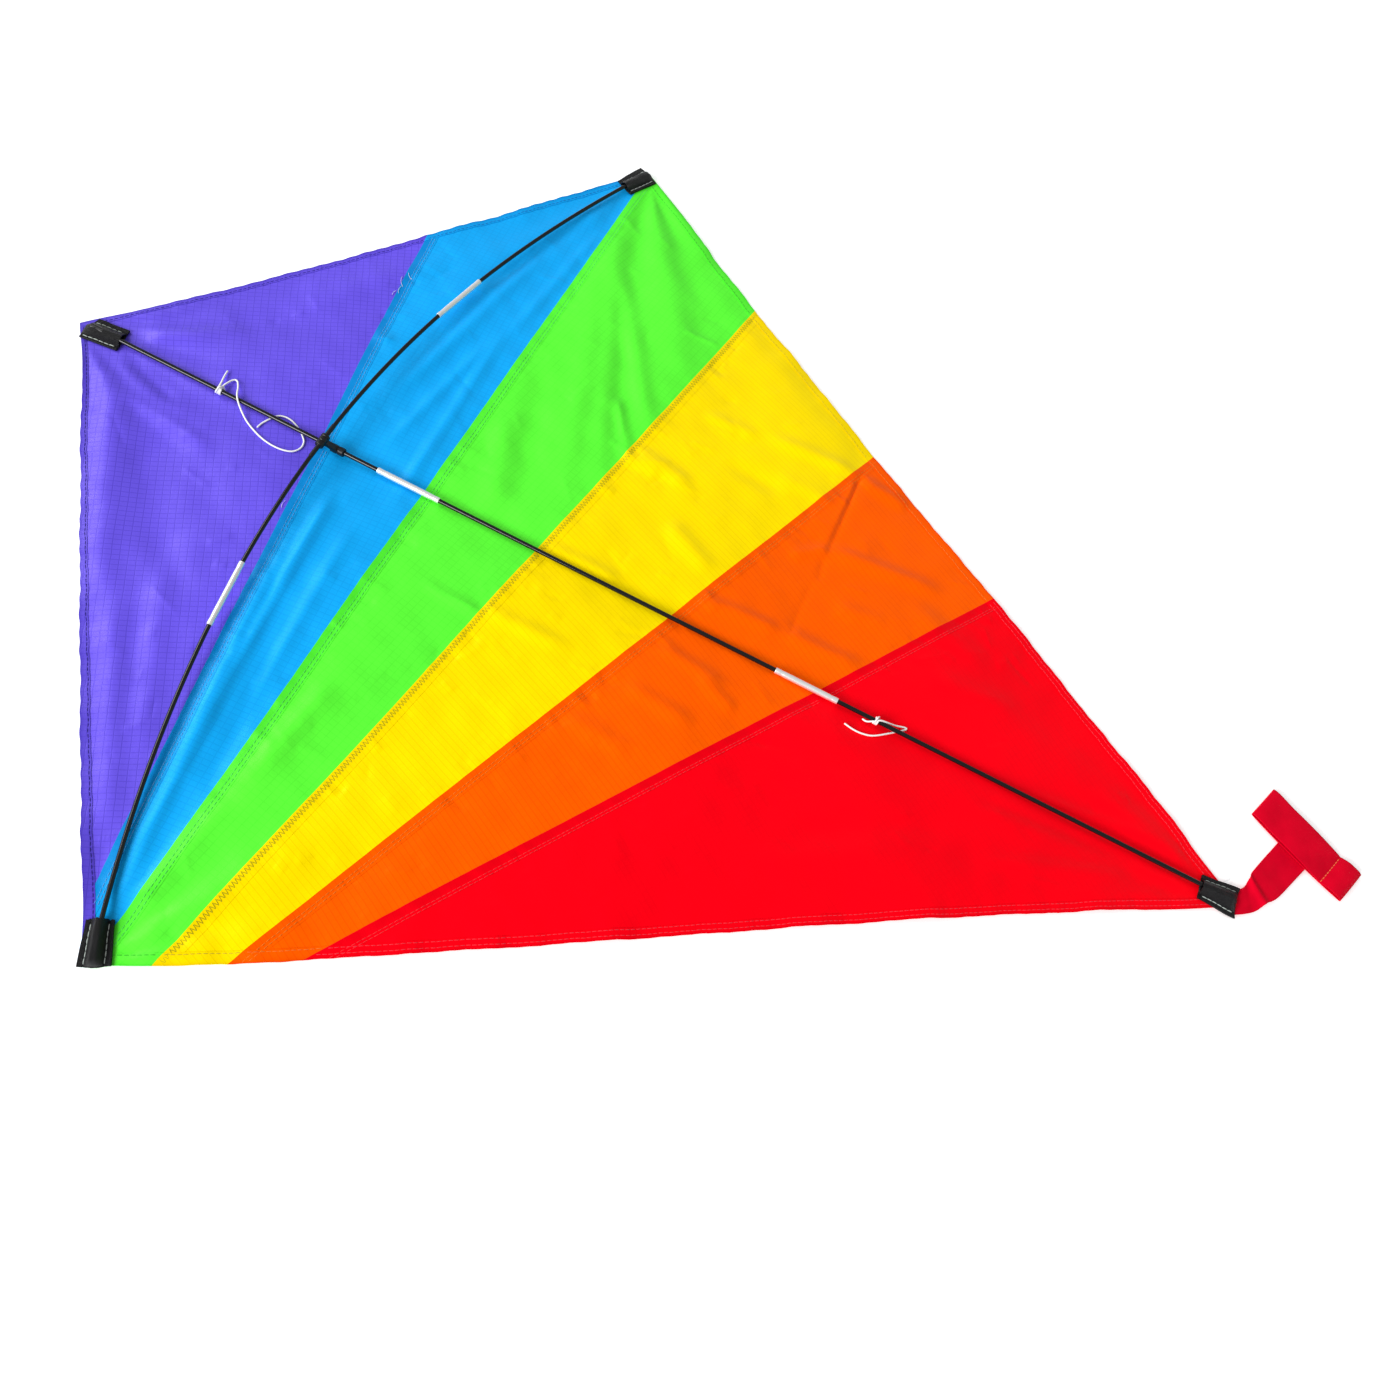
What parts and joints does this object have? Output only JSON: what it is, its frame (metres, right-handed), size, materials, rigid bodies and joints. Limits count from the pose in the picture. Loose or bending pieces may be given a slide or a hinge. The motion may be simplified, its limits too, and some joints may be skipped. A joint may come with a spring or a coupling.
{
  "type": "diamond kite",
  "caption": "Flat diamond kite: coloured ripstop sail, jointed fibreglass spine and bowed spreader, cross fitting, corner pockets, bridle and tail ribbon.",
  "frame": {"origin": "middle of the kite's footprint in X and Y, at the height of its lowest point, with the kite lying on its front", "axes": "+Y along the spine towards the nose, +X towards the right wing tip as seen from the back, +Z out of the sail's back, where the frame is"},
  "size_m": [0.738, 0.9748, 0.0193],
  "materials": {
    "violet_ripstop": "thin coated ripstop nylon, faint grid, soft sheen",
    "blue_ripstop": "thin coated ripstop nylon, faint grid, soft sheen",
    "green_ripstop": "thin coated ripstop nylon, faint grid, soft sheen",
    "yellow_ripstop": "thin coated ripstop nylon, faint grid, soft sheen",
    "orange_ripstop": "thin coated ripstop nylon, faint grid, soft sheen",
    "red_ripstop": "thin coated ripstop nylon, faint grid, soft sheen",
    "fibreglass": "solid black fibreglass rod, semi-gloss with fine texture",
    "ferrule_metal": "bright polished thin metal tube",
    "black_plastic": "moulded, satin",
    "black_webbing": "woven webbing, ribbed",
    "grey_thread": "sewing thread",
    "white_string": "braided line",
    "red_ribbon": "thin coated nylon ribbon",
    "orange_thread": "sewing thread"
  },
  "bodies": {
    "frame": {"spine_nose_rod": "fibreglass", "spine_middle_rod": "fibreglass", "spine_tail_rod": "fibreglass", "spreader_center_rod": "fibreglass", "spine_front_ferrule": "ferrule_metal", "spine_rear_ferrule": "ferrule_metal", "cross_fitting": "black_plastic", "nose_pocket": "black_webbing", "nose_pocket_stitch_left": "grey_thread", "nose_pocket_stitch_right": "grey_thread", "nose_end_cap": "black_plastic", "tail_pocket": "black_webbing", "tail_pocket_stitch_left": "grey_thread", "tail_pocket_stitch_right": "grey_thread", "tail_end_cap": "black_plastic", "bridle_upper_knot": "white_string", "bridle_lower_knot": "white_string", "upper_loose_string": "white_string", "lower_loose_string": "white_string"},
    "left_wing": {"violet_panel_left": "violet_ripstop", "blue_panel_left": "blue_ripstop", "green_panel_left": "green_ripstop", "yellow_panel_left": "yellow_ripstop", "orange_panel_left": "orange_ripstop", "red_panel_left": "red_ripstop", "spreader_left_rod": "fibreglass", "spreader_left_ferrule": "ferrule_metal", "left_tip_pocket": "black_webbing", "left_tip_pocket_stitch_left": "grey_thread", "left_tip_pocket_stitch_right": "grey_thread", "left_tip_end_cap": "black_plastic"},
    "right_wing": {"violet_panel_right": "violet_ripstop", "blue_panel_right": "blue_ripstop", "green_panel_right": "green_ripstop", "yellow_panel_right": "yellow_ripstop", "orange_panel_right": "orange_ripstop", "red_panel_right": "red_ripstop", "spreader_right_rod": "fibreglass", "spreader_right_ferrule": "ferrule_metal", "right_tip_pocket": "black_webbing", "right_tip_pocket_stitch_left": "grey_thread", "right_tip_pocket_stitch_right": "grey_thread", "right_tip_end_cap": "black_plastic"},
    "bridle": {"bridle_upper_leg": "white_string", "bridle_lower_leg": "white_string", "bridle_tow_loop": "white_string"},
    "tail_ribbon": {"tail_ribbon": "red_ribbon", "tail_ribbon_loop": "red_ribbon", "tail_ribbon_stitch": "orange_thread"}
  },
  "joints": [
    {"name": "left_wing_flex", "type": "hinge", "parent": "frame", "child": "left_wing", "pos_m": [0, 0, 0.0022], "axis": [0, 1, 0], "range_deg": [0, 20], "deforming": ["spreader_center_rod", "upper_loose_string", "lower_loose_string"]},
    {"name": "right_wing_flex", "type": "hinge", "parent": "frame", "child": "right_wing", "pos_m": [0, 0, 0.0022], "axis": [0, -1, 0], "range_deg": [0, 20], "deforming": ["spreader_center_rod", "upper_loose_string", "lower_loose_string"]},
    {"name": "bridle_swing", "type": "hinge", "parent": "frame", "child": "bridle", "pos_m": [0, 0.1, 0.0005], "axis": [0, 1, 0], "range_deg": [0, 180]},
    {"name": "tail_swing", "type": "hinge", "parent": "frame", "child": "tail_ribbon", "pos_m": [0.005, -0.4126, 0.0024], "axis": [1, 0, 0], "range_deg": [-80, 80]}
  ],
  "couplings": [
    {"joint": "right_wing_flex", "follows": "left_wing_flex", "ratio": 1}
  ]
}
